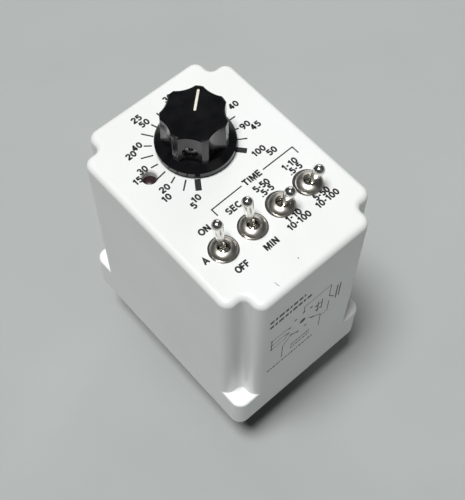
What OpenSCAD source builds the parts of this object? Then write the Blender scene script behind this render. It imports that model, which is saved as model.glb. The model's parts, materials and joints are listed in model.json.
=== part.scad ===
// Plug-in time-delay relay: a white moulded case on an eleven-pin plug, with a timing knob,
// four toggle switches and an indicator lamp on its panel, and the works inside.
// Millimetres, +Z up. The origin is under the middle of the case, at the tip of the key post.

/* [Plug] */
// Length of the key post below the header
post_len = 14.3; // [12:0.1:16]
// Radius of the key post
post_r = 3.95; // [3.5:0.05:4.2]
// Length of the pins below the header
pin_len = 11.1; // [9:0.1:12]
// Radius of a pin
pin_r = 1.18; // [1:0.01:1.3]
// Radius of a pin's shank, inside the header
shank_r = 1.0; // [0.8:0.05:1.1]
// Diameter of the circle the pins stand on
pin_circle_d = 19.05; // [17:0.05:20]
// Number of pins
pin_count = 11; // [8, 11]
// Diameter of the header
header_d = 29; // [26:0.5:32]
// Thickness of the header below the base plate
header_h = 2.5; // [2:0.1:4]

/* [Case] */
// Width of the cover, along the row of toggles
case_w = 44.45; // [40:0.05:50]
// Length of the cover
case_l = 60.7; // [55:0.1:66]
// Height of the cover
case_h = 66.3; // [60:0.1:72]
// Thickness of the cover's walls
wall = 1.8; // [1.5:0.1:2.5]
// Thickness of the panel
panel_t = 2.2; // [1.8:0.1:3]
// Depth of the channel in each upright corner
notch = 5.2; // [4:0.1:6]
// Height of the lugs below the channels
lug_h = 12.5; // [10:0.1:16]
// Radius of the channels' outer corners
lobe_r = 2.6; // [1.8:0.1:3]
// Radius of the lugs' corners
lug_r = 3.0; // [2:0.1:4]
// Radius of the edge round the lugs' tops
lug_edge_r = 0.6; // [0.3:0.1:1]
// Radius in the bottom of each channel
channel_r = 1.6; // [1:0.1:2.4]
// Radius of the edge round the panel
top_r = 1.6; // [1:0.1:1.8]
// Thickness of the base plate's flange, below the cover
flange_t = 1.2; // [1:0.1:2]
// How far the flange stands in from the cover's side
flange_inset = 0.5; // [0.3:0.1:1]

/* [Knob] */
// Knob axis, across the panel
knob_x = 0.5; // [-2:0.1:2]
// Knob axis, along the panel
knob_y = 11.3; // [8:0.1:14]
// Gap between the panel and the skirt
knob_gap = 1.0; // [0.6:0.1:2]
// Height of the knob's top above the panel
knob_h = 12.3; // [10:0.1:15]
// Radius of the skirt
skirt_r = 9.6; // [9:0.1:11]
// Height of the skirt's upright rim
rim_h = 1.3; // [1:0.1:2]
// Radius over the lobes, at the top
lobe_top_r = 7.8; // [7:0.05:8.5]
// Radius at the bottom of a flute
flute_r = 6.9; // [6.5:0.05:7.5]
// Radius of a flute's curve
flute_curve_r = 7.1; // [4:0.1:12]
// Number of flutes
flutes = 7; // [5:1:9]
// Direction the pointer faces at rest, in degrees from +X
pointer_a = 41; // [-49:1:235]

/* [Toggles] */
// Distance between neighbouring toggles
toggle_pitch = 8.65; // [8.4:0.05:9.6]
// Line the toggles stand on
toggle_y = -13.9; // [-16:0.1:-12]
// Distance from a lever's pivot to the middle of its tip
lever_len = 9.5; // [8:0.1:11]
// Radius of a lever's tip
tip_r = 1.38; // [1.2:0.02:1.5]
// Lean of a lever to either side, in degrees
lever_a = 13; // [10:0.5:15]
// Side each lever leans to at rest: 1 is +Y, -1 is -Y
lever_side = [1, 1, -1, -1];

/* [Lamp] */
// Lamp axis, across the panel
lamp_x = -13.25; // [-16:0.05:-12]
// Lamp axis, along the panel
lamp_y = 11.4; // [8:0.05:13]
// Radius of the lamp's hole
lamp_hole_r = 1.75; // [1.65:0.05:2.6]

/* [Boards] */
// Thickness of the circuit boards
board_t = 1.6; // [1:0.1:2]
// Distance from the panel's underside to the front board
front_drop = 10.9; // [10.5:0.1:13]
// Main board's inner face
main_x = 10.3; // [10:0.1:10.4]

/* [Hidden] */
$fn = 64;
header_z = post_len;
flange_z = header_z + header_h;
case_z = flange_z + flange_t;
panel_z = case_z + case_h;
inner_z = panel_z - panel_t;
floor_z = case_z + 2;
pin_top_z = floor_z + 1.6;
front_z = inner_z - front_drop - board_t;
lug_x = case_w / 2 - (notch + wall) / 2;
lug_y = case_l / 2 - (notch + wall) / 2;
pivot_z = panel_z - 1.2;
can_z = inner_z - 8.6;
rocker_z = pivot_z - 6.05;
rocker_a = 7;
rocker_v = 14;
relay_x = -8;
relay_z = floor_z + 4.8;
armature_z = 25.05;
armature_y = 9.5;
armature_a = 4.6;
toggle_xs = [for (i = [0 : 3]) (i - 1.5) * toggle_pitch];
washer_slips = [0.1, 0.1, 0.3, 0.45];
washer_slip_a = 138.5;
throw_ys = [-3.9, 0, 3.9];
link_y = 1.5;
link_ys = [for (i = [0 : 7]) link_y + (i - 3.5) * 2.54];
link_x = main_x + board_t + 1.25;
pin_as = [for (i = [0 : pin_count - 1]) (i + 0.5) * 360 / pin_count];
cover_white = [0.93, 0.94, 0.92];
bakelite = [0.04, 0.04, 0.045];
nickel = [0.72, 0.71, 0.68];
brass = [0.75, 0.6, 0.3];
steel = [0.6, 0.61, 0.62];
board_green = [0.1, 0.32, 0.16];
amber = [0.62, 0.3, 0.1];

// ---- shared shapes ----

// A box given by its two opposite corners.
module span(a, b) {
  translate(a) cube(b - a);
}

// A flat rectangle with round corners.
module rounded_rect(w, l, r) {
  square([w - 2 * r, l], center = true);
  square([w, l - 2 * r], center = true);
  for (x = [-1, 1], y = [-1, 1])
    translate([x * (w / 2 - r), y * (l / 2 - r)])
      circle(r = r);
}

// A washer, sleeve or ring on the Z axis.
module ring(r_out, r_in, h) {
  difference() {
    cylinder(r = r_out, h = h);
    translate([0, 0, -1]) cylinder(r = r_in, h = h + 2);
  }
}

// A rod between two points that lie along one row axis.
module rod_x(a, len, r) {
  translate(a) rotate([0, 90, 0]) cylinder(r = r, h = len);
}

module rod_y(a, len, r) {
  translate(a) rotate([-90, 0, 0]) cylinder(r = r, h = len);
}

module rod_z(a, len, r) {
  translate(a) cylinder(r = r, h = len);
}

// The corner of a block whose upright edge and top edge are both rounded.
module soft_corner(r, re) {
  rotate_extrude() {
    square([r - re, re]);
    intersection() {
      translate([r - re, 0]) circle(r = re);
      square([r, re]);
    }
  }
}

// A block with round upright corners and a rounded edge along its top.
module soft_block(w, l, h, r, re) {
  linear_extrude(h - re) rounded_rect(w, l, r);
  translate([0, 0, h - re]) {
    linear_extrude(re) {
      square([w - 2 * re, l - 2 * r], center = true);
      square([w - 2 * r, l - 2 * re], center = true);
    }
    for (x = [-1, 1], y = [-1, 1])
      translate([x * (w / 2 - r), y * (l / 2 - r), 0])
        soft_corner(r, re);
    for (y = [-1, 1])
      rod_x([r - w / 2, y * (l / 2 - re), 0], w - 2 * r, re);
    for (x = [-1, 1])
      rod_y([x * (w / 2 - re), r - l / 2, 0], l - 2 * r, re);
  }
}

// The cross-shaped room inside the cover, smaller all round by gap.
module inside_profile(gap) {
  rounded_rect(case_w - 2 * wall - 2 * gap, case_l - 2 * notch - 2 * wall - 2 * gap, 1.2);
  rounded_rect(case_w - 2 * notch - 2 * wall - 2 * gap, case_l - 2 * wall - 2 * gap, 1.2);
}

// Fills the inside corner of a channel with a curve, rounded over at the top like the block's edge.
module channel_fillet(h, r, re) {
  difference() {
    span([-re, -re, 0], [r, r, h]);
    translate([r, r, 0]) {
      rod_z([0, 0, -1], h + 2, r);
      translate([0, 0, h - re]) rotate_extrude() difference() {
        square([r + re, re + 1]);
        translate([r + re, 0]) circle(r = re);
      }
    }
  }
}

module at_lugs() {
  for (x = [-1, 1], y = [-1, 1])
    translate([x * lug_x, y * lug_y, 0])
      children();
}

module at_pins() {
  for (a = pin_as)
    translate([pin_circle_d / 2 * sin(a), pin_circle_d / 2 * cos(a), 0])
      children();
}

module at_toggles() {
  for (x = toggle_xs)
    translate([x, toggle_y, 0])
      children();
}

// ---- case and plug ----

module cover() {
  color(cover_white) difference() {
    translate([0, 0, case_z]) {
      soft_block(case_w, case_l - 2 * notch, case_h, lobe_r, top_r);
      soft_block(case_w - 2 * notch, case_l, case_h, lobe_r, top_r);
      soft_block(case_w, case_l, lug_h, lug_r, lug_edge_r);
      for (x = [0, 1], y = [0, 1]) mirror([x, 0, 0]) mirror([0, y, 0])
        translate([case_w / 2 - notch, case_l / 2 - notch, 0])
          channel_fillet(case_h, channel_r, top_r);
    }
    translate([0, 0, case_z - 1]) linear_extrude(inner_z - case_z + 1) inside_profile(0);
    at_lugs() rod_z([0, 0, case_z - 1], 10, 1.4);
    rod_z([knob_x, knob_y, inner_z - 1], panel_t + 2, 3.6);
    at_toggles() rod_z([0, 0, inner_z - 1], panel_t + 2, 2.5);
    translate([lamp_x, lamp_y, 0]) {
      rod_z([0, 0, inner_z - 1], panel_t + 2, lamp_hole_r);
      translate([0, 0, panel_z - 0.5]) cylinder(r1 = lamp_hole_r, r2 = lamp_hole_r + 0.3, h = 0.51);
    }
  }
}

// The plate that closes the cover, with guides for the main board and ribs for the relay.
module base_plate() {
  color(bakelite) difference() {
    union() {
      translate([0, 0, flange_z]) linear_extrude(flange_t)
        rounded_rect(case_w - 2 * flange_inset, case_l - 2 * flange_inset, lug_r - 0.3);
      translate([0, 0, case_z]) linear_extrude(floor_z - case_z) inside_profile(0.3);
      for (y = [-20, 20])
        span([main_x - 1.8, y - 2, floor_z - 0.1], [main_x + board_t + 1.8, y + 2, floor_z + 4]);
      for (y = [-12.6, 12.6]) {
        span([-17, y - 1, floor_z - 0.1], [1, y + 1, relay_z]);
        for (x = [-15, -1])
          rod_z([x, y, relay_z - 0.1], 3.1, 1.0);
      }
    }
    rod_z([0, 0, flange_z - 1], 6, 12.05);
    at_lugs() rod_z([0, 0, flange_z - 1], 3, 1.6);
    for (y = [-20, 20])
      span([main_x - 0.05, y - 3, floor_z + 0.6], [main_x + board_t + 0.05, y + 3, floor_z + 5]);
  }
}

// The insulating header, with the key post that guides the plug into its socket.
module plug_header() {
  color(bakelite) difference() {
    union() {
      translate([0, 0, header_z]) cylinder(r1 = header_d / 2 - 0.4, r2 = header_d / 2, h = 0.4);
      rod_z([0, 0, header_z + 0.4], header_h - 0.4, header_d / 2);
      rod_z([0, 0, flange_z - 0.1], floor_z - flange_z + 0.1, 12);
      cylinder(r1 = post_r - 0.7, r2 = post_r, h = 1);
      rod_z([0, 0, 1], post_len - 0.9, post_r);
      span([-0.8, 0, 1.2], [0.8, post_r + 0.95, post_len + 0.1]);
    }
    at_pins() {
      rod_z([0, 0, header_z - 1], 8, shank_r + 0.02);
      rod_z([0, 0, header_z - 1], 1.2, pin_r + 0.02);
    }
  }
}

// Each pin has a round tip below the header and a thinner shank through it, up to its wire.
module plug_pins() {
  color(nickel) at_pins() {
    translate([0, 0, header_z - pin_len + pin_r]) sphere(r = pin_r);
    rod_z([0, 0, header_z - pin_len + pin_r], pin_len - pin_r, pin_r);
    rod_z([0, 0, header_z - 0.1], pin_top_z - header_z + 0.1, shank_r);
  }
}

module base_screws() {
  color(steel) at_lugs() difference() {
    union() {
      rod_z([0, 0, flange_z - 1.5], 1.5, 2.6);
      rod_z([0, 0, flange_z - 0.1], 8, 1.35);
      translate([0, 0, flange_z + 7.9]) cylinder(r1 = 1.35, r2 = 0.3, h = 1.6);
    }
    for (a = [0, 90])
      rotate([0, 0, a + 20]) span([-1.6, -0.3, flange_z - 2], [1.6, 0.3, flange_z - 0.6]);
  }
}

// ---- knob ----

module at_knob() {
  translate([knob_x, knob_y, 0]) rotate([0, 0, pointer_a]) children();
}

// The cutter for one flute, wider at the knob's top, where it breaks the edge.
module flute_tool(z0, z1) {
  translate([flute_r + flute_curve_r, 0, 0]) {
    rod_z([0, 0, z0], z1 - z0 + 1, flute_curve_r);
    translate([0, 0, z1 - 0.3]) cylinder(r1 = flute_curve_r, r2 = flute_curve_r + 0.8, h = 0.8);
  }
}

module knob() {
  bottom = panel_z + knob_gap;
  rim = bottom + rim_h;
  shoulder = panel_z + 3.5;
  top = panel_z + knob_h;
  color(bakelite) at_knob() difference() {
    rotate_extrude() polygon([
      [0, bottom], [skirt_r, bottom], [skirt_r, rim - 0.2], [skirt_r - 0.2, rim],
      [lobe_top_r + 0.2, shoulder], [lobe_top_r, top - 0.35], [lobe_top_r - 0.12, top - 0.1],
      [lobe_top_r - 0.4, top], [0, top]]);
    for (i = [0 : flutes - 1])
      rotate([0, 0, (i + 0.5) * 360 / flutes]) flute_tool(shoulder + 0.05, top);
    rod_z([0, 0, bottom - 1], 3.4, 6.4);
    rod_z([0, 0, bottom], panel_z + 10.3 - bottom, 4.5);
    rod_x([-12, 0, panel_z + 6.7], 10, 1.9);
    translate([0, 0, top - 0.35]) linear_extrude(1) pointer_profile(0);
  }
}

// The pointer's outline, a bar with round ends, smaller all round by gap.
module pointer_profile(gap) {
  translate([0.9, gap - 0.3]) square([5.4, 0.6 - 2 * gap]);
  for (x = [0.9, 6.3])
    translate([x, 0]) circle(r = 0.3 - gap);
}

module knob_pointer() {
  color([0.92, 0.9, 0.84]) at_knob()
    translate([0, 0, panel_z + knob_h - 0.35]) linear_extrude(0.3) pointer_profile(0.01);
}

module knob_insert() {
  color(brass) at_knob() difference() {
    rod_z([0, 0, panel_z + 3.6], 6.6, 4.48);
    rod_z([0, 0, panel_z + 3], 6.5, 3.02);
    rod_x([-6, 0, panel_z + 6.7], 6, 1.78);
  }
}

module knob_set_screw() {
  color(steel) at_knob() difference() {
    rod_x([-6.0, 0, panel_z + 6.7], 3.4, 1.75);
    rod_x([-6.5, 0, panel_z + 6.7], 2.0, 0.75, $fn = 6);
  }
}

// ---- potentiometer ----

module pot_shaft() {
  color(nickel) at_knob() difference() {
    rod_z([0, 0, can_z + 2.9], panel_z + 9.4 - can_z - 2.9, 3);
    span([-5, -4, panel_z + 3.6], [-2.58, 4, panel_z + 10]);
  }
}

module pot_bushing() {
  color(nickel) translate([knob_x, knob_y, 0]) difference() {
    union() {
      rod_z([0, 0, inner_z - 0.8], 0.8, 8.2);
      rod_z([0, 0, inner_z - 0.1], panel_z + 2.9 - inner_z + 0.1, 3.5);
    }
    rod_z([0, 0, inner_z - 2], panel_t + 6, 3.05);
  }
}

module pot_washer() {
  color(steel) translate([knob_x, knob_y, panel_z]) ring(5.4, 3.55, 0.4);
}

module pot_nut() {
  color(nickel) translate([knob_x, knob_y, panel_z + 0.4]) difference() {
    cylinder(r = 5.77, h = 2.1, $fn = 6);
    translate([0, 0, -1]) cylinder(r = 3.52, h = 4);
  }
}

// The steel can, with the window its terminals leave by and the tab that stops the rotor.
module pot_can() {
  color(steel) translate([knob_x, knob_y, 0]) {
    difference() {
      rod_z([0, 0, can_z], 7.8, 8.2);
      rod_z([0, 0, can_z + 0.5], 8, 7.75);
      span([-5.5, 5.2, can_z - 1], [5.5, 10, can_z + 2.1]);
    }
    rotate([0, 0, 3]) span([-2.4, -7.8, can_z + 3.2], [2.4, -6.3, can_z + 4.9]);
  }
}

module pot_track() {
  color(amber) translate([knob_x, knob_y, 0]) difference() {
    union() {
      rod_z([0, 0, can_z + 0.5], 0.8, 7.6);
      span([-5.2, 4, can_z + 0.5], [5.2, 9.6, can_z + 1.3]);
    }
    rod_z([0, 0, can_z], 3, 2.5);
    for (x = [-3.8, 0, 3.8])
      rod_z([x, 8.6, can_z], 3, 0.45);
  }
}

module pot_terminals() {
  color(nickel) translate([knob_x, knob_y, 0]) for (x = [-3.8, 0, 3.8]) {
    rod_z([x, 8.6, front_z - 1.2], can_z + 1.5 - front_z + 1.2, 0.42);
    rod_z([x, 8.6, can_z + 1.3], 0.4, 0.9);
  }
}

module pot_rotor() {
  color([0.25, 0.14, 0.08]) at_knob() difference() {
    union() {
      rod_z([0, 0, can_z + 2.9], 1.8, 5.2);
      span([4, -1.3, can_z + 2.9], [7.0, 1.3, can_z + 4.7]);
    }
    rod_z([0, 0, can_z + 2], 4, 3.02);
  }
}

module pot_wiper() {
  color(brass) at_knob() {
    translate([0, 0, can_z + 2.6]) ring(4.6, 3.2, 0.3);
    span([-6.7, -0.8, can_z + 2.6], [-3.8, 0.8, can_z + 2.9]);
    for (y = [-0.45, 0.45])
      rod_z([-6.2, y, can_z + 1.45], 1.2, 0.3);
  }
}

// ---- toggle switches ----

// One lever, leaning to its rest side: the bat, the ball it turns on and the arm below.
module toggle_lever(i) {
  color(nickel) translate([toggle_xs[i], toggle_y, pivot_z]) rotate([-lever_a * lever_side[i], 0, 0]) {
    sphere(r = 1.55);
    cylinder(r = 0.62, h = 1.5);
    translate([0, 0, 1.45]) cylinder(r1 = 0.62, r2 = tip_r, h = lever_len - 1.45);
    translate([0, 0, lever_len]) sphere(r = tip_r);
    rod_z([0, 0, -5], 5, 0.6);
    translate([0, 0, -5]) sphere(r = 0.7);
  }
}

// The frame plate and threaded bushing of each switch, with the seat for the lever's ball.
module toggle_bushings() {
  color(nickel) at_toggles() difference() {
    union() {
      span([-3.5, -6.35, inner_z - 0.8], [3.5, 6.35, inner_z]);
      rod_z([0, 0, inner_z - 0.1], panel_z + 0.85 - inner_z + 0.1, 2.4);
    }
    rod_z([0, 0, inner_z - 2], pivot_z - inner_z + 2, 1.63);
    translate([0, 0, pivot_z]) sphere(r = 1.63);
    rod_z([0, 0, pivot_z], 4, 1.45);
  }
}

// The washers sit off centre, the last one as far as its bore lets it.
module toggle_washers() {
  color(steel) for (i = [0 : 3])
    translate([toggle_xs[i], toggle_y, panel_z]) rotate([0, 0, washer_slip_a])
      translate([washer_slips[i], 0, 0]) ring(3.55, 2.9, 0.4);
}

// The dress nuts, domed from the rim to the mouth.
module toggle_nuts() {
  color(nickel) at_toggles() translate([0, 0, panel_z + 0.4]) rotate_extrude() difference() {
    intersection() {
      translate([1.25, -1.1]) circle(r = 2.36);
      translate([1.6, 0]) square([1.55, 1.4]);
    }
    translate([0, -1]) square([2.43, 1.5]);
  }
}

module toggle_bodies() {
  color([0.45, 0.06, 0.05]) at_toggles() difference() {
    span([-3.5, -6.35, inner_z - 8.8], [3.5, 6.35, inner_z - 0.8]);
    span([-2.6, -5.45, inner_z - 7.2], [2.6, 5.45, inner_z]);
    for (y = throw_ys)
      span([-0.5, y - 0.3, inner_z - 10], [0.5, y + 0.3, inner_z - 7]);
  }
}

// One rocking contact: a shallow V of strip that the lever's arm tips over.
module toggle_rocker(i) {
  color(brass) translate([toggle_xs[i], toggle_y, rocker_z]) rotate([rocker_a * lever_side[i], 0, 0]) {
    rod_x([-1.7, 0, 0], 3.4, 0.2);
    for (s = [0, 180])
      rotate([0, 0, s]) rotate([rocker_v, 0, 0]) span([-1.7, 0, -0.2], [1.7, 4.2, 0.2]);
  }
}

// Three terminals a switch: the cradle in the middle and a contact at each end.
module toggle_terminals() {
  color(brass) at_toggles() {
    for (y = throw_ys)
      span([-0.45, y - 0.25, front_z - 1.2], [0.45, y + 0.25, rocker_z - 1]);
    span([-1.5, -0.6, rocker_z - 1.45], [1.5, 0.6, rocker_z - 0.35]);
    for (y = [-3.9, 3.9])
      rod_z([0, y, rocker_z - 1.05], 1.08, 0.9);
  }
}

// ---- indicator lamp ----

module lamp() {
  color([0.35, 0.08, 0.06]) translate([lamp_x, lamp_y, 0]) {
    rod_z([0, 0, inner_z - 3.6], 1, 1.9);
    intersection() {
      rod_z([0, 0, inner_z - 2.7], 4, 1.62);
      translate([0, 0, inner_z - 2.6]) sphere(r = 3.2);
    }
  }
}

module lamp_leads() {
  color(nickel) translate([lamp_x, lamp_y, 0])
    for (x = [-1.27, 1.27])
      rod_z([x, 0, front_z - 1.2], inner_z - 3.6 - front_z + 1.2, 0.28);
}

// ---- circuit boards and their parts ----

module front_board() {
  color(board_green) difference() {
    span([-19, -22.2, front_z], [19, 22.2, front_z + board_t]);
    at_toggles() for (y = throw_ys)
      rod_z([0, y, front_z - 1], 4, 0.6);
    for (x = [-3.8, 0, 3.8])
      rod_z([knob_x + x, knob_y + 8.6, front_z - 1], 4, 0.5);
    for (x = [-1.27, 1.27])
      rod_z([lamp_x + x, lamp_y, front_z - 1], 4, 0.4);
    for (y = link_ys)
      rod_z([link_x, y, front_z - 1], 4, 0.4);
  }
}

// The upright board, cut away at its foot to clear the pins' ends.
module main_board() {
  color(board_green) difference() {
    span([main_x, -22, floor_z + 0.6], [main_x + board_t, 22, front_z - 2]);
    span([main_x - 1, -13, floor_z], [main_x + board_t + 1, 13, pin_top_z + 0.4]);
    for (y = link_ys)
      rod_x([main_x - 1, y, front_z - 6], 4, 0.4);
  }
}

// The strip of pins that joins the two boards.
module link_bar() {
  color(bakelite) difference() {
    span([main_x + board_t + 0.05, link_y - 10.2, front_z - 5.1],
         [main_x + board_t + 2.5, link_y + 10.2, front_z - 2.6]);
    for (y = link_ys)
      rod_z([link_x, y, front_z - 7], 6, 0.34);
  }
}

module link_pins() {
  color(brass) for (y = link_ys) {
    rod_z([link_x, y, front_z - 6], board_t + 7, 0.32);
    rod_x([main_x - 0.8, y, front_z - 6], link_x - main_x + 0.8, 0.32);
    translate([link_x, y, front_z - 6]) sphere(r = 0.32);
  }
}

module at_main_face() {
  translate([main_x + board_t, 0, 0]) children();
}

module chips() {
  color([0.08, 0.08, 0.09]) at_main_face() for (y = [-10.2, 11.2])
    difference() {
      span([0.5, y - 9.6, floor_z + 28.8], [3.8, y + 9.6, floor_z + 35.2]);
      rod_x([3.4, y - 9.6, floor_z + 32], 2, 1.1);
    }
}

module chip_legs() {
  color(nickel) at_main_face() for (y = [-10.2, 11.2], i = [0 : 6], s = [-1, 1]) {
    span([0, y + (i - 3) * 2.54 - 0.25, floor_z + 32 + s * 3.7 - 0.25],
         [2.3, y + (i - 3) * 2.54 + 0.25, floor_z + 32 + s * 3.7 + 0.25]);
    span([1.9, y + (i - 3) * 2.54 - 0.7, floor_z + 32 + s * 3.45 - 0.24],
         [2.3, y + (i - 3) * 2.54 + 0.7, floor_z + 32 + s * 3.45 + 0.24]);
  }
}

module filter_capacitors() {
  color([0.12, 0.16, 0.42]) at_main_face() for (y = [-16.5, -7.5])
    difference() {
      rod_z([4.15, y, floor_z + 4.5], 14, 4);
      translate([4.15, y, floor_z + 6.2]) rotate_extrude() translate([4.25, 0]) circle(r = 0.45);
    }
}

module timing_capacitor() {
  color([0.75, 0.32, 0.08]) at_main_face()
    translate([0.1, 12, floor_z + 11.5]) rotate([0, 90, 0]) linear_extrude(6) rounded_rect(11, 18, 1.5);
}

module trimmer() {
  color([0.1, 0.25, 0.6]) at_main_face() difference() {
    union() {
      span([0.1, -3.3, floor_z + 20.2], [4.4, 3.3, floor_z + 26.8]);
      rod_x([4.3, 0, floor_z + 23.5], 0.7, 2.2);
    }
    span([4.6, -1.6, floor_z + 23.2], [6, 1.6, floor_z + 23.8]);
  }
}

// A body with round ends on a bent lead, lying along Y.
module axial_part(y, z, r, len) {
  rod_y([r + 0.15, y - len / 2, z], len, r);
  rod_y([r + 0.15, y - len / 2 - 1.2, z], len + 2.4, 0.28);
  for (s = [-1, 1]) {
    rod_x([0, y + s * (len / 2 + 1.2), z], r + 0.15, 0.28);
    translate([r + 0.15, y + s * (len / 2 + 1.2), z]) sphere(r = 0.28);
  }
}

module resistors() {
  color([0.72, 0.55, 0.36]) at_main_face() for (y = [-16.5, -5.5, 5.5, 16.5], z = [38.5, 41.4])
    axial_part(y, floor_z + z, 1.1, 6.2);
}

module diodes() {
  color([0.1, 0.1, 0.11]) at_main_face() for (y = [-17, -8.5, 8.5, 17])
    axial_part(y, floor_z + 23.5, 1.3, 4.8);
}

module power_resistor() {
  color([0.85, 0.83, 0.78]) {
    span([main_x - 6.8, -11, floor_z + 36], [main_x - 0.4, 11, floor_z + 42.4]);
    for (s = [-1, 1]) {
      rod_y([main_x - 3.6, s > 0 ? 10.9 : -12.9, floor_z + 39.2], 2, 0.4);
      rod_x([main_x - 3.6, s * 12.5, floor_z + 39.2], 3.6, 0.4);
    }
  }
}

// ---- relay ----

module at_relay() {
  translate([relay_x, 0, relay_z]) children();
}

// Turns the relay's moving pieces from flat, where they are drawn, to the open rest position.
module at_armature() {
  translate([0, armature_y, armature_z]) rotate([-armature_a, 0, 0])
    translate([0, -armature_y, -armature_z])
      children();
}

module relay_base() {
  color([0.16, 0.12, 0.09]) at_relay() difference() {
    union() {
      span([-10, -17.5, 0], [10, 15, 2.5]);
      span([-9, -15.9, 2.4], [9, -14.4, 13.2]);
    }
    for (x = [-7, 7], y = [-12.6, 12.6])
      rod_z([x, y, -1], 5, 1.05);
    span([-4, -5, -1], [4, 5, 1.2]);
  }
}

module relay_yoke() {
  color(steel) at_relay() {
    span([-6, -7.5, 2.5], [6, 9.5, 4]);
    span([-6, 8, 3.9], [6, 9.5, 25]);
    difference() {
      span([-2, 9.4, 5.2], [2, 13.8, 6.2]);
      rod_z([0, 12.3, 4], 4, 0.6);
    }
  }
}

module relay_core() {
  color(steel) at_relay() {
    rod_z([0, 0, 4], 19.8, 3);
    rod_z([0, 0, 23.7], 1.2, 4.5);
  }
}

module relay_bobbin() {
  color([0.9, 0.89, 0.82]) at_relay() difference() {
    union() {
      rod_z([0, 0, 4.1], 1, 7.4);
      rod_z([0, 0, 5], 17.7, 3.8);
      rod_z([0, 0, 22.6], 1, 7.4);
    }
    rod_z([0, 0, 3], 22, 3.05);
  }
}

module relay_coil() {
  color([0.62, 0.26, 0.1]) at_relay() translate([0, 0, 5.15]) ring(7, 3.85, 17.4);
}

module relay_armature() {
  color(steel) at_relay() at_armature() {
    span([-5.5, -5.5, 25.1], [5.5, 11.4, 26.5]);
    span([-4, 10.2, 20.7], [4, 11.4, 25.2]);
    difference() {
      span([-2, 11.3, 20.7], [2, 13.8, 21.7]);
      rod_z([0, 12.3, 19], 4, 0.6);
    }
  }
}

module relay_card() {
  color([0.85, 0.84, 0.76]) at_relay() at_armature()
    span([-7, -7.5, 26.5], [7, -1, 27.9]);
}

module relay_blades() {
  color(brass) at_relay() at_armature() for (x = [-4.5, 4.5]) {
    span([x - 1.2, -13.2, 27.9], [x + 1.2, -2, 28.2]);
    rod_z([x, -12.2, 27.2], 1.7, 1.2);
  }
}

// Two pairs of fixed contacts, below and above each blade, on posts behind the base's wall.
module relay_contact_arms() {
  color(brass) at_relay() for (x = [-4.5, 4.5]) {
    span([x - 1.2, -16.5, 2.5], [x + 1.2, -16, 26.35]);
    span([x - 1.2, -16.1, 25.85], [x + 1.2, -11, 26.35]);
    rod_z([x, -12.2, 26.3], 0.75, 1.2);
    span([x - 1.2, -17.3, 2.5], [x + 1.2, -16.8, 32]);
    span([x - 1.2, -16.9, 31.5], [x + 1.2, -11, 32]);
    rod_z([x, -12.2, 30.85], 0.7, 1.2);
  }
}

// The return spring: close turns of wire, with a straight hook at each end.
module relay_spring() {
  color(nickel) at_relay() translate([0, 12.3, 0]) {
    for (i = [0 : 18])
      translate([0, 0, 8.2 + i * 0.5]) rotate_extrude() translate([1.45, 0]) circle(r = 0.28);
    rod_x([-1.45, 0, 8.2], 2.9, 0.2);
    rod_x([-1.45, 0, 17.2], 2.9, 0.2);
    rod_z([0, 0, 4.9], 3.3, 0.2);
    rod_z([0, 0, 17.2], 5.1, 0.2);
    translate([0, 0, 4.5]) sphere(r = 0.6);
    translate([0, 0, 22.6]) sphere(r = 0.7);
  }
}

// ---- wires ----

// From each pin up, then across to the main board; the far pins' wires pass over the near ones.
module wires() {
  color([0.7, 0.12, 0.1]) {
    for (a = pin_as) {
      x = pin_circle_d / 2 * sin(a);
      y = pin_circle_d / 2 * cos(a);
      z = floor_z + (x > 0 ? 2.6 : 3.9);
      rod_z([x, y, pin_top_z], z - pin_top_z, 0.55);
      translate([x, y, z]) sphere(r = 0.55);
      rod_x([x, y, z], main_x - x, 0.55);
    }
    for (y = [-15, -9, -3, 3, 9])
      rod_x([relay_x + 10, y, relay_z + 1.25], main_x - relay_x - 10, 0.5);
  }
}

cover();
base_plate();
plug_header();
plug_pins();
base_screws();
knob();
knob_pointer();
knob_insert();
knob_set_screw();
pot_shaft();
pot_bushing();
pot_washer();
pot_nut();
pot_can();
pot_track();
pot_terminals();
pot_rotor();
pot_wiper();
toggle_lever(0);  // toggle_lever_1
toggle_lever(1);  // toggle_lever_2
toggle_lever(2);  // toggle_lever_3
toggle_lever(3);  // toggle_lever_4
toggle_bushings();
toggle_washers();
toggle_nuts();
toggle_bodies();
toggle_rocker(0);  // toggle_rocker_1
toggle_rocker(1);  // toggle_rocker_2
toggle_rocker(2);  // toggle_rocker_3
toggle_rocker(3);  // toggle_rocker_4
toggle_terminals();
lamp();
lamp_leads();
front_board();
main_board();
link_bar();
link_pins();
chips();
chip_legs();
filter_capacitors();
timing_capacitor();
trimmer();
resistors();
diodes();
power_resistor();
relay_base();
relay_yoke();
relay_core();
relay_bobbin();
relay_coil();
relay_armature();
relay_card();
relay_blades();
relay_contact_arms();
relay_spring();
wires();
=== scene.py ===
"""Looks of a plug-in time-delay relay: materials, the print on its case, the camera and the light.

Lengths are metres in the part's frame, +Z up out of the panel. Sizes written with MM are millimetres.
"""

import itertools
import json
import math

import bpy
from mathutils import Matrix, Vector


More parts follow.
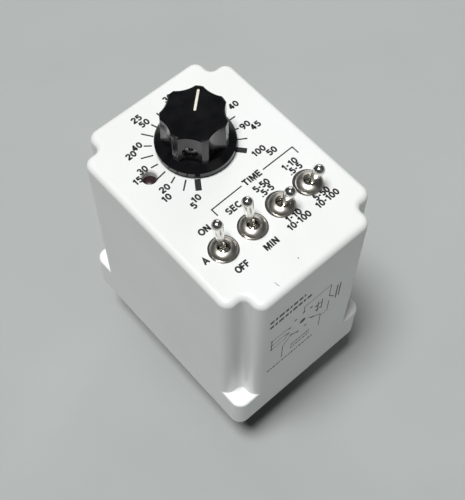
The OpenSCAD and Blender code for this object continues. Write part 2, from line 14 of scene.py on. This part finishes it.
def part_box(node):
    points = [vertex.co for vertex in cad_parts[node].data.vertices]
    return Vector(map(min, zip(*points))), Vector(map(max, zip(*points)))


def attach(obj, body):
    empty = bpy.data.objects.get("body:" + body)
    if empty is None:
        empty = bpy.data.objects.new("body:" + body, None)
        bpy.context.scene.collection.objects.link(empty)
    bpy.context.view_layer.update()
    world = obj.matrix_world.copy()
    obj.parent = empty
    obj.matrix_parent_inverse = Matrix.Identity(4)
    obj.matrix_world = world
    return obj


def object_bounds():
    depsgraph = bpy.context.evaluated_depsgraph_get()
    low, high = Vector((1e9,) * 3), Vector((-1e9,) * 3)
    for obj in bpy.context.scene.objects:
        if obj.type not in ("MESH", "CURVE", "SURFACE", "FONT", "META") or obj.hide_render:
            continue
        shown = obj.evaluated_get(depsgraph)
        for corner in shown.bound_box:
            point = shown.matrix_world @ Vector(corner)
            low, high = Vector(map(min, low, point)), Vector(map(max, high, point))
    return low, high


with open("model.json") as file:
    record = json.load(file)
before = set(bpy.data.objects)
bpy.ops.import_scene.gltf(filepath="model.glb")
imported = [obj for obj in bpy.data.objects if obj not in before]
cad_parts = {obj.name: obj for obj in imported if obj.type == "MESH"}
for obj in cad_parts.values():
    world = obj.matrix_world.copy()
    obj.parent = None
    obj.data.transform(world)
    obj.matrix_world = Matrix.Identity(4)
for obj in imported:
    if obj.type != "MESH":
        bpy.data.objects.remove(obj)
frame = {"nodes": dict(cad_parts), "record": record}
cad_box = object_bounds()

MM = 0.001
NODES = frame["nodes"]


def middle(node):
    """The middle of a CAD node's box."""
    low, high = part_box(node)
    return (low + high) / 2


PANEL_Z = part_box("cover")[1].z
FRONT_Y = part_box("cover")[0].y
COVER_FOOT_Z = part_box("cover")[0].z
KNOB_AXIS = middle("pot_nut")


# ---- material building blocks ----

# The wave texture's own bands are this much finer than one unit apart.
BANDS_TO_ONE_UNIT = 1 / 3.18


class Look:
    """One Principled material and the nodes that feed it."""

    def __init__(self, name, **values):
        self.material = bpy.data.materials.new(name)
        self.material.use_nodes = True
        self.tree = self.material.node_tree
        self.shader = self.tree.nodes["Principled BSDF"]
        self.place = self.tree.nodes.new("ShaderNodeTexCoord").outputs["Object"]
        self.height = None
        for key, value in values.items():
            socket = self.shader.inputs[key.replace("_", " ")]
            socket.default_value = (*value, 1) if isinstance(value, tuple) else value

    def node(self, kind, **settings):
        """A new node with its own properties set."""
        made = self.tree.nodes.new(kind)
        for key, value in settings.items():
            setattr(made, key, value)
        return made

    def wire(self, source, node, socket):
        self.tree.links.new(source, node.inputs[socket])

    def noise(self, size_mm, detail=3.0, stretch=(1, 1, 1), offset=0.0):
        """A noise value whose features are about size_mm across, longer along a stretched axis."""
        mapping = self.node("ShaderNodeMapping")
        mapping.inputs["Scale"].default_value = [1 / (size_mm * MM * s) for s in stretch]
        mapping.inputs["Location"].default_value = (offset, offset, offset)
        self.wire(self.place, mapping, "Vector")
        noise = self.node("ShaderNodeTexNoise")
        noise.inputs["Scale"].default_value = 1.0
        noise.inputs["Detail"].default_value = detail
        self.wire(mapping.outputs[0], noise, "Vector")
        return noise.outputs["Fac"]

    def bands(self, pitch_mm, distortion=0.0):
        """Level ridges one pitch apart."""
        mapping = self.node("ShaderNodeMapping")
        mapping.inputs["Scale"].default_value = [1 / (pitch_mm * MM)] * 3
        self.wire(self.place, mapping, "Vector")
        wave = self.node("ShaderNodeTexWave", wave_type="BANDS", bands_direction="Z")
        wave.inputs["Scale"].default_value = BANDS_TO_ONE_UNIT
        wave.inputs["Distortion"].default_value = distortion
        self.wire(mapping.outputs[0], wave, "Vector")
        return wave.outputs["Fac"]

    def ramp(self, value, low, high, start=0.0, end=1.0):
        """The value, spread from start..end of its range onto low..high."""
        made = self.node("ShaderNodeMapRange")
        made.inputs["From Min"].default_value = start
        made.inputs["From Max"].default_value = end
        made.inputs["To Min"].default_value = low
        made.inputs["To Max"].default_value = high
        self.wire(value, made, "Value")
        return made.outputs["Result"]

    def times(self, a, b):
        made = self.node("ShaderNodeMath", operation="MULTIPLY")
        self.wire(a, made, 0)
        self.wire(b, made, 1)
        return made.outputs[0]

    def blend(self, value, first, second):
        """A colour from first, where the value is 0, to second, where it is 1. Either may be a socket."""
        mix = self.node("ShaderNodeMix", data_type="RGBA")
        self.wire(value, mix, 0)
        for slot, colour in ((6, first), (7, second)):
            if isinstance(colour, tuple):
                mix.inputs[slot].default_value = (*colour, 1)
            else:
                self.tree.links.new(colour, mix.inputs[slot])
        return mix.outputs[2]

    def colour(self, socket):
        self.wire(socket, self.shader, "Base Color")
        return self

    def roughness(self, value, low, high):
        """Roughness from low to high over the middle of a noise value's range."""
        self.wire(self.ramp(value, low, high, 0.3, 0.7), self.shader, "Roughness")
        return self

    def bump(self, value, depth_mm):
        """Adds relief of about depth_mm to what the material already has."""
        bump = self.node("ShaderNodeBump")
        bump.inputs["Strength"].default_value = 1.0
        bump.inputs["Distance"].default_value = depth_mm * MM
        self.wire(value, bump, "Height")
        if self.height is not None:
            self.wire(self.height, bump, "Normal")
        self.height = bump.outputs["Normal"]
        self.wire(self.height, self.shader, "Normal")
        return self


# ---- materials, one function for each kind ----

def moulded_white():
    """The case: glossy white thermoplastic, slightly yellowed, with fine scuffs and grime at its foot."""
    look = Look("case_white", IOR=1.49)
    tone = look.noise(26, detail=1)
    foot = look.node("ShaderNodeSeparateXYZ")
    look.wire(look.place, foot, "Vector")
    grime = look.ramp(foot.outputs["Z"], 1, 0, COVER_FOOT_Z, COVER_FOOT_Z + 5 * MM)
    specks = look.ramp(look.noise(1.1, detail=6, offset=4), 0, 1, 0.62, 0.72)
    clean = look.blend(look.ramp(tone, 0, 1, 0.3, 0.7), (0.85, 0.86, 0.855), (0.82, 0.83, 0.81))
    dirty = look.blend(look.times(grime, specks), clean, (0.42, 0.40, 0.34))
    look.colour(dirty)
    look.roughness(look.noise(18, detail=0, offset=2), 0.31, 0.34)
    return look.bump(look.noise(9, detail=2), 0.03).material


def moulded_black(name, colour, rough, dust):
    """Black thermoset: a faint mottle, a slightly uneven gloss and pale specks as strong as dust says."""
    look = Look(name, IOR=1.55)
    mottle = look.noise(3, detail=4)
    tint = tuple(c * 1.7 + 0.002 for c in colour)
    plain = look.blend(look.ramp(mottle, 0, 1, 0.35, 0.65), colour, tint)
    specks = look.ramp(look.noise(0.35, detail=3, offset=5), 0, dust, 0.66, 0.74)
    look.colour(look.blend(specks, plain, (0.30, 0.29, 0.26)))
    look.roughness(look.noise(6, detail=1, offset=3), rough, rough + 0.05)
    return look.bump(look.noise(0.5, detail=3), 0.003).material


def plated(name, bright, dull, rough):
    """Plated metal: cloudy tone, uneven sheen and a slightly uneven surface."""
    look = Look(name, Metallic=1.0)
    cloud = look.noise(1.6, detail=2)
    look.colour(look.blend(look.ramp(cloud, 0, 1, 0.3, 0.7), bright, dull))
    look.roughness(look.noise(0.9, detail=2, offset=3), rough, rough + 0.10)
    return look.bump(look.noise(1.5, detail=1, offset=6), 0.003).material


def moulded(name, colour, second, rough, grain_mm=0.6, relief_mm=0.004):
    """A small moulded or dipped part: two tones, uneven sheen and a fine surface."""
    look = Look(name)
    look.colour(look.blend(look.ramp(look.noise(grain_mm * 3, detail=4), 0, 1, 0.3, 0.7), colour, second))
    look.roughness(look.noise(grain_mm, detail=4, offset=2), rough, rough + 0.2)
    return look.bump(look.noise(grain_mm, detail=3, offset=5), relief_mm).material


def laminate():
    """Brown phenolic laminate, with the fibres of its paper showing."""
    look = Look("laminate_brown")
    fibre = look.noise(0.35, detail=5, stretch=(8, 1, 1))
    look.colour(look.blend(look.ramp(fibre, 0, 1, 0.3, 0.7), (0.16, 0.07, 0.03), (0.33, 0.17, 0.08)))
    look.roughness(fibre, 0.35, 0.6)
    return look.bump(fibre, 0.01).material


def circuit_board():
    """Green solder resist over copper tracks, which stand up a little and show lighter."""
    look = Look("board_green", IOR=1.5)
    mapping = look.node("ShaderNodeMapping")
    mapping.inputs["Scale"].default_value = [1 / (1.27 * MM)] * 3
    look.wire(look.place, mapping, "Vector")
    cells = look.node("ShaderNodeTexVoronoi", distance="MANHATTAN", feature="F1")
    cells.inputs["Scale"].default_value = 0.35
    cells.inputs["Randomness"].default_value = 0.8
    look.wire(mapping.outputs[0], cells, "Vector")
    track = look.ramp(cells.outputs["Distance"], 1, 0, 0.45, 0.5)
    look.colour(look.blend(track, (0.012, 0.085, 0.035), (0.03, 0.17, 0.06)))
    look.roughness(look.noise(2, detail=3), 0.25, 0.42)
    return look.bump(track, 0.03).material


def copper_winding():
    """Enamelled wire wound in level turns, with painted shade darkening the grooves between them."""
    look = Look("coil_copper", Metallic=0.8)
    turn_relief_and_shade = look.bands(0.22, distortion=0.4)
    # The colour is dark in the grooves between turns and light on their crests: painted shade over the
    # relief.
    look.colour(look.blend(turn_relief_and_shade, (0.20, 0.05, 0.015), (0.62, 0.24, 0.09)))
    look.roughness(look.noise(3, detail=0), 0.30, 0.36)
    return look.bump(turn_relief_and_shade, 0.06).material


def lamp_lens():
    """The unlit lens: deep red-brown tinted resin with a clear skin."""
    look = Look("lamp_lens", IOR=1.5, Coat_Weight=0.2, Coat_Roughness=0.25)
    look.colour(look.blend(look.noise(0.6, detail=3), (0.014, 0.004, 0.006), (0.034, 0.009, 0.013)))
    look.roughness(look.noise(0.3, detail=3, offset=4), 0.3, 0.45)
    return look.bump(look.noise(0.8, detail=2, offset=1), 0.02).material


def ink(name, colour):
    """Printed ink: uneven coverage, which leaves it a little thin in places."""
    look = Look(name)
    cover = look.ramp(look.noise(0.3, detail=3), 0, 1, 0.66, 0.80)
    thin = tuple(min(1.0, c + 0.07) for c in colour)
    look.colour(look.blend(cover, colour, thin))
    look.roughness(look.noise(0.5, detail=2, offset=3), 0.4, 0.6)
    return look.bump(look.noise(0.15, detail=2), 0.002).material


INK = ink("ink_black", (0.008, 0.008, 0.010))

LOOKS = {
    "white_plastic": moulded_white(),
    "black_phenolic": moulded_black("phenolic_black", (0.014, 0.014, 0.015), 0.30, 0.15),
    "knob_black": moulded_black("knob_black", (0.0025, 0.0025, 0.003), 0.13, 0.05),
    "pointer_white": moulded("pointer_white", (0.83, 0.81, 0.73), (0.70, 0.66, 0.55), 0.45, 0.3),
    "nickel_plate": plated("nickel_plate", (0.84, 0.83, 0.80), (0.74, 0.72, 0.68), 0.12),
    "zinc_steel": plated("zinc_steel", (0.60, 0.60, 0.58), (0.44, 0.43, 0.40), 0.26),
    "brass": plated("brass_strip", (0.78, 0.58, 0.26), (0.60, 0.42, 0.18), 0.20),
    "copper_wire": copper_winding(),
    "phenolic_brown": laminate(),
    "switch_red": moulded("switch_red", (0.30, 0.03, 0.025), (0.20, 0.02, 0.018), 0.4),
    "lamp_red": lamp_lens(),
    "board_green": circuit_board(),
    "chip_black": moulded("chip_black", (0.02, 0.02, 0.022), (0.04, 0.04, 0.042), 0.5, 0.2, 0.008),
    "sleeve_blue": moulded("sleeve_blue", (0.02, 0.03, 0.14), (0.03, 0.05, 0.20), 0.2, 1.5),
    "dipped_orange": moulded("dipped_orange", (0.52, 0.14, 0.02), (0.42, 0.10, 0.015), 0.2, 1.2, 0.02),
    "trimmer_blue": moulded("trimmer_blue", (0.03, 0.10, 0.34), (0.04, 0.13, 0.40), 0.4),
    "resistor_tan": moulded("resistor_tan", (0.52, 0.34, 0.18), (0.44, 0.28, 0.14), 0.35, 0.5, 0.01),
    "ceramic_white": moulded("ceramic_white", (0.72, 0.70, 0.63), (0.62, 0.60, 0.53), 0.7, 0.3, 0.02),
    "bobbin_white": moulded("bobbin_white", (0.74, 0.71, 0.60), (0.66, 0.62, 0.50), 0.4),
    "wire_red": moulded("wire_red", (0.42, 0.03, 0.02), (0.32, 0.02, 0.015), 0.35, 1.0),
}

# The dress nuts are duller and warmer than the levers.
NUT_PLATING = plated("nickel_worn", (0.60, 0.58, 0.53), (0.50, 0.47, 0.41), 0.30)


def dress_nodes():
    """Puts each CAD node's material in its slots."""
    for part in frame["record"]["subparts"]:
        node = NODES[part["node"]]
        node.data.materials.clear()
        node.data.materials.append(LOOKS[part["material_slot"]])
    NODES["toggle_nuts"].data.materials[0] = NUT_PLATING


# ---- lettering: heavy strokes in a box one unit high, centred on the origin ----

def arc(cx, cy, rx, ry, start, end, steps=14):
    """Points along an ellipse from one angle to another, in degrees."""
    turn_relief_and_shade = [math.radians(start + (end - start) * i / steps) for i in range(steps + 1)]
    return [(cx + rx * math.cos(t), cy + ry * math.sin(t)) for t in turn_relief_and_shade]


def loop(cx, cy, rx, ry):
    """A closed ellipse, its first point repeated at the end."""
    return arc(cx, cy, rx, ry, 90, 450, 24)


SIX = [loop(0, -0.18, 0.25, 0.23), arc(0.12, -0.16, 0.37, 0.57, 185, 82, 10)]

# Each character has its width, with its share of the gaps, and its strokes.
GLYPHS = {
    "0": (0.80, [loop(0, 0, 0.26, 0.41)]),
    "1": (0.66, [[(0.10, -0.5), (0.10, 0.5)], [(-0.20, 0.24), (0.10, 0.30)]]),
    "2": (0.80, [arc(0, 0.19, 0.25, 0.22, 175, -35) + [(-0.25, -0.41)], [(-0.34, -0.41), (0.34, -0.41)]]),
    "3": (0.80, [arc(0, 0.21, 0.22, 0.20, 165, -90), arc(0, -0.20, 0.26, 0.21, 90, -165)]),
    "4": (0.80, [[(0.12, -0.5), (0.12, 0.5)], [(0.10, 0.42), (-0.28, -0.18)],
                 [(-0.35, -0.20), (0.34, -0.20)]]),
    "5": (0.80, [[(0.30, 0.41), (-0.17, 0.41), (-0.22, 0.04)], arc(0, -0.15, 0.27, 0.26, 143, -155)]),
    "6": (0.80, SIX),
    "7": (0.76, [[(-0.33, 0.41), (0.26, 0.41), (-0.08, -0.5)]]),
    "8": (0.80, [loop(0, 0.21, 0.21, 0.20), loop(0, -0.20, 0.25, 0.21)]),
    "9": (0.80, [[(-x, -y) for x, y in stroke] for stroke in SIX]),
    "-": (0.50, [[(-0.17, -0.06), (0.17, -0.06)]]),
    ".": (0.36, [[(0, -0.5), (0, -0.31)]]),
    "A": (0.84, [[(-0.31, -0.5), (0, 0.42), (0.31, -0.5)], [(-0.20, -0.18), (0.20, -0.18)]]),
    "C": (0.88, [arc(0.02, 0, 0.33, 0.41, 42, 318, 20)]),
    "E": (0.76, [[(0.30, 0.41), (-0.22, 0.41), (-0.22, -0.41), (0.32, -0.41)],
                 [(-0.22, 0.02), (0.26, 0.02)]]),
    "F": (0.72, [[(0.30, 0.41), (-0.22, 0.41), (-0.22, -0.5)], [(-0.22, 0.0), (0.24, 0.0)]]),
    "I": (0.38, [[(0, -0.5), (0, 0.5)]]),
    "M": (1.0, [[(-0.34, -0.5), (-0.34, 0.5)], [(-0.27, 0.44), (0, -0.40), (0.27, 0.44)],
                [(0.34, -0.5), (0.34, 0.5)]]),
    "N": (0.86, [[(-0.27, -0.5), (-0.27, 0.5)], [(-0.24, 0.42), (0.24, -0.42)], [(0.27, -0.5), (0.27, 0.5)]]),
    "O": (0.92, [loop(0, 0, 0.35, 0.41)]),
    "S": (0.82, [arc(0.01, 0.21, 0.25, 0.20, 30, 262), arc(-0.01, -0.20, 0.27, 0.21, 82, -155)]),
    "T": (0.76, [[(-0.35, 0.41), (0.35, 0.41)], [(0, 0.41), (0, -0.5)]]),
}
GLYPH_STROKE = 0.26
# The gaps before a word's first character and after its last, together.
END_GAPS = 0.1


# ---- print ----

INK_THICK = 0.02 * MM
INK_LIFT = 0.004 * MM
DIGIT_H = 1.68
WORD_H = 1.7
TICK_W = 0.38
BAR_W = 1.45
RULE_W = 0.33


class Print:
    """Artwork in millimetres on one flat face, gathered into one thin mesh."""

    def __init__(self, name, face):
        self.name = name
        self.face = face
        self.verts = []
        self.faces = []

    def outline(self, points):
        """A filled convex outline."""
        start = len(self.verts)
        self.verts += [Vector((x, y, 0)) for x, y in points]
        self.faces.append(list(range(start, start + len(points))))

    def path(self, points, wide=RULE_W):
        """A stroke along the points with mitred corners, closed if it ends where it began."""
        points = [Vector(p) for p in points]
        closed = len(points) > 3 and (points[0] - points[-1]).length < 1e-6
        if closed:
            points.pop()
        count = len(points)
        start = len(self.verts)
        for i, point in enumerate(points):
            before = points[i - 1] if closed or i else None
            after = points[(i + 1) % count] if closed or i < count - 1 else None
            ins = [(b - a).normalized() for a, b in ((before, point), (point, after)) if a and b]
            along = sum(ins, Vector((0, 0))).normalized()
            side = Vector((-along.y, along.x))
            lean = max(0.4, abs(side.dot(Vector((-ins[0].y, ins[0].x)))))
            for sign in (1, -1):
                edge = point + side * (sign * wide / 2 / lean)
                self.verts.append(edge.to_3d())
        for i in range(count if closed else count - 1):
            a = start + 2 * i
            b = start + 2 * ((i + 1) % count)
            self.faces.append([a, a + 1, b + 1, b])

    def text(self, words, x, y, height=DIGIT_H, width=None):
        """Words centred on x, y with the given height of their capitals and, if stated, width."""
        natural = sum(GLYPHS[c][0] for c in words)
        stretch = (width / height + END_GAPS) / natural if width else 1.0
        at = -natural / 2
        for c in words:
            wide, strokes = GLYPHS[c]
            middle_x = x + (at + wide / 2) * height * stretch
            for stroke in strokes:
                line = [(middle_x + px * height * stretch, y + py * height) for px, py in stroke]
                self.path(line, GLYPH_STROKE * height)
            at += wide

    def dot(self, x, y, r, sides=20):
        """A filled disc."""
        turn_relief_and_shade = [math.tau * i / sides for i in range(sides)]
        self.outline([(x + r * math.cos(t), y + r * math.sin(t)) for t in turn_relief_and_shade])

    def finish(self, material):
        """One mesh of everything added, with its thickness, laid on the face."""
        mesh = bpy.data.meshes.new(self.name)
        lift = Vector((0, 0, INK_LIFT))
        mesh.from_pydata([v * MM + lift for v in self.verts], [], self.faces)
        mesh.transform(self.face)
        mesh.materials.append(material)
        piece = bpy.data.objects.new(self.name, mesh)
        bpy.context.scene.collection.objects.link(piece)
        thick = piece.modifiers.new("thickness", "SOLIDIFY")
        thick.thickness = INK_THICK
        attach(piece, "case")


# The dial's ticks, inner figures and outer figures, in millimetres from its centre.
DIAL_OFFSET = (-0.5, 0.2)
BAR_FROM, BAR_TO = 9.4, 12.5
TICK_FROM, SHORT_TICK_TO, LONG_TICK_TO = 9.65, 11.55, 12.65
DIAL_START = math.radians(235)
DIAL_STEP = math.radians(15.77)
DIAL_STEPS = 18
INNER_FIGURES = {
    "10": (-9.0, -11.4), "20": (-12.6, -4.7), "30": (-13.3, 2.4), "40": (-10.2, 8.3), "50": (-4.7, 12.3),
    "60": (3.6, 12.2), "70": (9.2, 9.3), "80": (12.0, 4.0), "90": (12.7, -3.7), "100": (10.2, -11.2),
}
OUTER_FIGURES = {
    "5": (-10.6, -12.5), "10": (-13.9, -6.9), "15": (-15.9, 0.9), "20": (-12.7, 7.3), "25": (-5.4, 14.4),
    "30": (4.05, 14.2), "35": (10.6, 11.0), "40": (14.5, 2.4), "45": (14.5, -5.4), "50": (12.5, -13.2),
}


def on_circle(centre, radius, turn):
    """The point on a circle at a turn from +X."""
    return (centre[0] + radius * math.cos(turn), centre[1] + radius * math.sin(turn))


def dial_print(art, centre):
    """Ticks round the knob, a bar at each end of the scale, and both rings of figures."""
    for k in range(DIAL_STEPS + 1):
        turn = DIAL_START - k * DIAL_STEP
        if k in (0, DIAL_STEPS):
            art.path([on_circle(centre, BAR_FROM, turn), on_circle(centre, BAR_TO, turn)], BAR_W)
        else:
            reach = LONG_TICK_TO if k % 2 else SHORT_TICK_TO
            art.path([on_circle(centre, TICK_FROM, turn), on_circle(centre, reach, turn)], TICK_W)
    for figures in (INNER_FIGURES, OUTER_FIGURES):
        for words, (x, y) in figures.items():
            art.text(words, centre[0] + x, centre[1] + y)


def range_print(art):
    """The bracket over the range switches, the unit words and the ranges either side of each switch."""
    art.path([(-8.25, -6.5), (-8.3, -4.45), (0.9, -4.2)])
    art.path([(7.5, -4.15), (16.8, -4.05), (16.8, -6.15)])
    for words, x, y, width in (
        ("TIME", 4.15, -4.15, 5.1), ("SEC", -4.25, -7.3, 4.1), ("MIN", -4.1, -19.6, 3.8),
        ("ON", -12.95, -7.3, 2.9), ("A", -17.75, -13.25, 1.4), ("OFF", -12.65, -19.6, 3.5),
    ):
        art.text(words, x, y, WORD_H, width)
    for words, x, y, width in (
        ("5-50", 4.35, -7.05, 4.3), (".5-5", 4.35, -8.85, 3.7),
        ("1-10", 13.1, -7.05, 4.2), (".5-5", 13.15, -8.85, 3.7),
        ("1-10", 4.45, -17.6, 4.2), ("10-100", 4.5, -19.4, 6.6),
        ("5-50", 13.1, -17.6, 4.3), ("10-100", 13.2, -19.4, 6.6),
    ):
        art.text(words, x, y, DIGIT_H, width)


def panel_print():
    """All the print on the panel. The dial is centred a little off the knob's axis."""
    dial_centre = [KNOB_AXIS[i] / MM + DIAL_OFFSET[i] for i in range(2)]
    art = Print("panel_print", Matrix.Translation((0, 0, PANEL_Z)))
    dial_print(art, dial_centre)
    range_print(art)
    art.finish(INK)


def greeked_line(art, x, y, length, tall):
    """A row of short blocks that stands for small print without spelling anything."""
    at = x
    for block in itertools.cycle((1.0, 0.6, 1.3, 0.8, 0.5, 1.1)):
        if at >= x + length:
            break
        wide = block * tall
        art.path([(at, y), (min(at + wide, x + length), y)], tall)
        at += wide + tall * 0.35


def side_print():
    """A connection diagram on the front side: contacts round a key, with the wiring led off them."""
    face = Matrix.Translation((0, FRONT_Y, COVER_FOOT_Z)) @ Matrix.Rotation(math.pi / 2, 4, "X")
    art = Print("side_print", face)
    centre = (-2.4, 40.4)
    contact_r = 4.75
    contacts = [on_circle(centre, contact_r, math.pi / 2 - i * math.tau / 11) for i in range(11)]
    for x, y in contacts:
        art.dot(x, y, 0.42)
    art.dot(*centre, 0.95)
    fine = 0.26
    top, right_low, left_low = contacts[0], contacts[4], contacts[7]
    art.path([top, (top[0], 48.2), (6.3, 48.2), (6.3, 42.2), (8.1, 39.6)], fine)
    art.path([(6.5, 39.3), (6.5, 33.7), (4.4, 33.7)], fine)
    art.path([right_low, (4.1, 34.9), (4.2, 27.8)], fine)
    art.path([left_low, (-8.5, 34.2), (-8.5, 27.0)], fine)
    for i, height in ((9, 43.1), (8, 40.5), (8, 38.1)):
        art.path([(-12.5, height), (-8.2, height), contacts[i]], fine)
    for height in (43.1, 40.5, 38.1):
        art.dot(-12.5, height, 0.38)
    art.path([(-12.5, 43.1), (-12.5, 38.1)], fine)
    art.path([left_low, contacts[6]], 0.4)
    art.path([right_low, (centre[0] + 2.2, centre[1] - 1.6)], 0.3)
    for x in (2.6, 3.9):
        art.path([(x, 43.8), (x, 38.6)], 0.35)
    for i in (2, 3):
        art.path([contacts[i], (3.9, contacts[i][1])], 0.35)
    greeked_line(art, -13.6, 55.0, 11.0, 1.2)
    greeked_line(art, -13.6, 52.3, 13.0, 1.2)
    for height in (30.4, 28.4):
        greeked_line(art, -5.6, height, 6.4, 0.7)
    greeked_line(art, -13.2, 24.8, 15.4, 0.8)
    for x in (8.9, 9.9):
        art.path([(x, 44.6), (x, 37.6)], 0.45)
    art.finish(INK)


def scuffs():
    """A short scratch and a speck of dirt near the panel's front edge."""
    art = Print("panel_scuffs", Matrix.Translation((0, 0, PANEL_Z)))
    art.path([(-10.0, -27.0), (-9.95, -27.8), (-9.8, -28.4)], 0.11)
    art.dot(-2.1, -26.1, 0.16, 9)
    art.finish(INK)


# ---- stage ----

FLOOR_SIZE = 8.0
CAMERA_AT = Vector((-0.0799, -0.0906, 0.2753))
CAMERA_FORWARD = Vector((0.3158, 0.3486, -0.8825))
CAMERA_RIGHT = Vector((0.7479, -0.6638, 0.0054))
LENS_MM = 71.2


def floor():
    """A pale, faintly mottled sheet under the object."""
    mesh = bpy.data.meshes.new("floor")
    half = FLOOR_SIZE / 2
    corners = [(x * half, y * half, cad_box[0][2]) for x, y in ((-1, -1), (1, -1), (1, 1), (-1, 1))]
    mesh.from_pydata(corners, [], [(0, 1, 2, 3)])
    piece = bpy.data.objects.new("floor", mesh)
    bpy.context.scene.collection.objects.link(piece)
    look = Look("floor_pale")
    look.colour(look.blend(look.noise(60, detail=2), (0.36, 0.38, 0.37), (0.40, 0.42, 0.41)))
    look.roughness(look.noise(20, detail=2), 0.7, 0.85)
    mesh.materials.append(look.material)


def camera():
    """The viewpoint, from its place, its line of sight and which way is right."""
    made = bpy.data.objects.new("camera", bpy.data.cameras.new("camera"))
    bpy.context.scene.collection.objects.link(made)
    forward = CAMERA_FORWARD.normalized()
    right = (CAMERA_RIGHT - forward * CAMERA_RIGHT.dot(forward)).normalized()
    up = right.cross(forward)
    turn = Matrix((right, up, -forward)).transposed().to_4x4()
    made.matrix_world = Matrix.Translation(CAMERA_AT) @ turn
    made.data.sensor_width = 36
    made.data.lens = LENS_MM
    made.data.clip_start = 0.01
    bpy.context.scene.camera = made


def place_light(data, at, aim):
    """Puts a light at a point and turns it to face another."""
    made = bpy.data.objects.new(data.name, data)
    made.location = Vector(at)
    made.rotation_euler = (Vector(aim) - Vector(at)).to_track_quat("-Z", "Y").to_euler()
    bpy.context.scene.collection.objects.link(made)


def area_light(name, at, aim, side, watts):
    data = bpy.data.lights.new(name, "AREA")
    data.size = side
    data.energy = watts
    place_light(data, at, aim)


def broad_key(at, aim, strength):
    """A key light that is as bright far off as near, so the whole floor stays pale, with soft shadows."""
    data = bpy.data.lights.new("key", "SUN")
    data.energy = strength
    data.angle = math.radians(17)
    place_light(data, at, aim)


def lights():
    """A soft key from the left, a small light for the metal's glints, two weak fills and a dim room."""
    aim = (0, 0, PANEL_Z)
    broad_key((-0.16, 0.02, 0.82), aim, 3.2)
    area_light("glint", (-0.10, -0.05, 0.36), aim, 0.03, 0.04)
    area_light("fill", (0.10, -0.60, 0.55), aim, 0.40, 0.06)
    area_light("back_fill", (0.55, 0.50, 0.45), aim, 0.50, 1.1)
    world = bpy.data.worlds.new("room")
    world.use_nodes = True
    background = world.node_tree.nodes["Background"]
    background.inputs["Color"].default_value = (0.90, 0.95, 1.0, 1)
    background.inputs["Strength"].default_value = 0.06
    bpy.context.scene.world = world
    bpy.context.scene.view_settings.view_transform = "Standard"


dress_nodes()
panel_print()
side_print()
scuffs()
floor()
camera()
lights()
